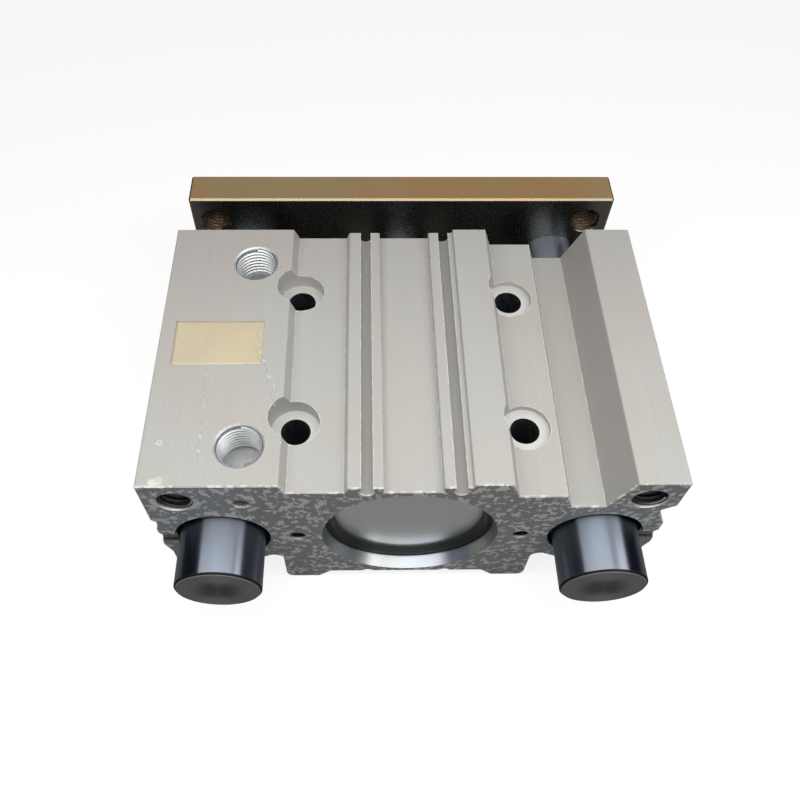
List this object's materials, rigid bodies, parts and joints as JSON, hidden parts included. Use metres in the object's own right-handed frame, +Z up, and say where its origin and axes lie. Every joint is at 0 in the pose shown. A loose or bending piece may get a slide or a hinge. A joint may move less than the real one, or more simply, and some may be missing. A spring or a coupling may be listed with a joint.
{
  "type": "guided pneumatic cylinder",
  "caption": "Compact guided pneumatic cylinder: grooved aluminium body, chromed guide rods and a piston rod that push a flat tooling plate.",
  "frame": {"origin": "centre of the four bottom threads, in the plane of the feet that the cylinder stands on", "axes": "+X across the rods towards the plain side, away from the ports; +Y along the rods towards the tooling plate, the way it extends; +Z up, from the feet to the ported top face"},
  "size_m": [0.148, 0.1385, 0.064],
  "materials": {
    "anodised_aluminium": "matte hard-anodised, light grey, faintly mottled",
    "machined_aluminium": "satin machined",
    "nickel_plated_steel": "satin nickel plating",
    "hard_chrome": "ground and hard-chromed",
    "phosphated_steel": "black phosphated spring steel",
    "bolt_steel": "black oxide",
    "bearing_steel": "polished steel",
    "bearing_bronze": "sintered bronze",
    "nitrile_rubber": "matte black",
    "bonded_magnet": "moulded magnet compound",
    "wear_resin": "filled resin",
    "holder_resin": "moulded black resin",
    "felt": "oiled wool felt"
  },
  "bodies": {
    "cylinder": {"cylinder_body": "anodised_aluminium", "head_cover": "machined_aluminium", "head_gasket": "nitrile_rubber", "head_retaining_ring": "phosphated_steel", "head_bumper": "nitrile_rubber", "rod_collar": "machined_aluminium", "rod_seal": "nitrile_rubber", "collar_gasket": "nitrile_rubber", "collar_retaining_ring": "phosphated_steel", "collar_bumper": "nitrile_rubber", "rear_bush_left": "bearing_bronze", "rear_bush_right": "bearing_bronze", "front_bush_left": "bearing_bronze", "front_bush_right": "bearing_bronze", "felt_left": "felt", "felt_right": "felt", "felt_holder_left": "holder_resin", "felt_holder_right": "holder_resin", "passage_ball": "bearing_steel"},
    "carriage": {"piston": "machined_aluminium", "piston_seal": "nitrile_rubber", "piston_magnet": "bonded_magnet", "piston_wear_ring": "wear_resin", "piston_rod": "hard_chrome", "guide_rod_left": "hard_chrome", "guide_rod_right": "hard_chrome", "tooling_plate": "nickel_plated_steel", "piston_rod_bolt": "bolt_steel", "guide_bolt_left": "bolt_steel", "guide_bolt_right": "bolt_steel"}
  },
  "joints": [
    {"name": "plate_slide", "type": "slide", "parent": "cylinder", "child": "carriage", "axis": [0, 1, 0], "range_m": [0, 0.05]}
  ]
}
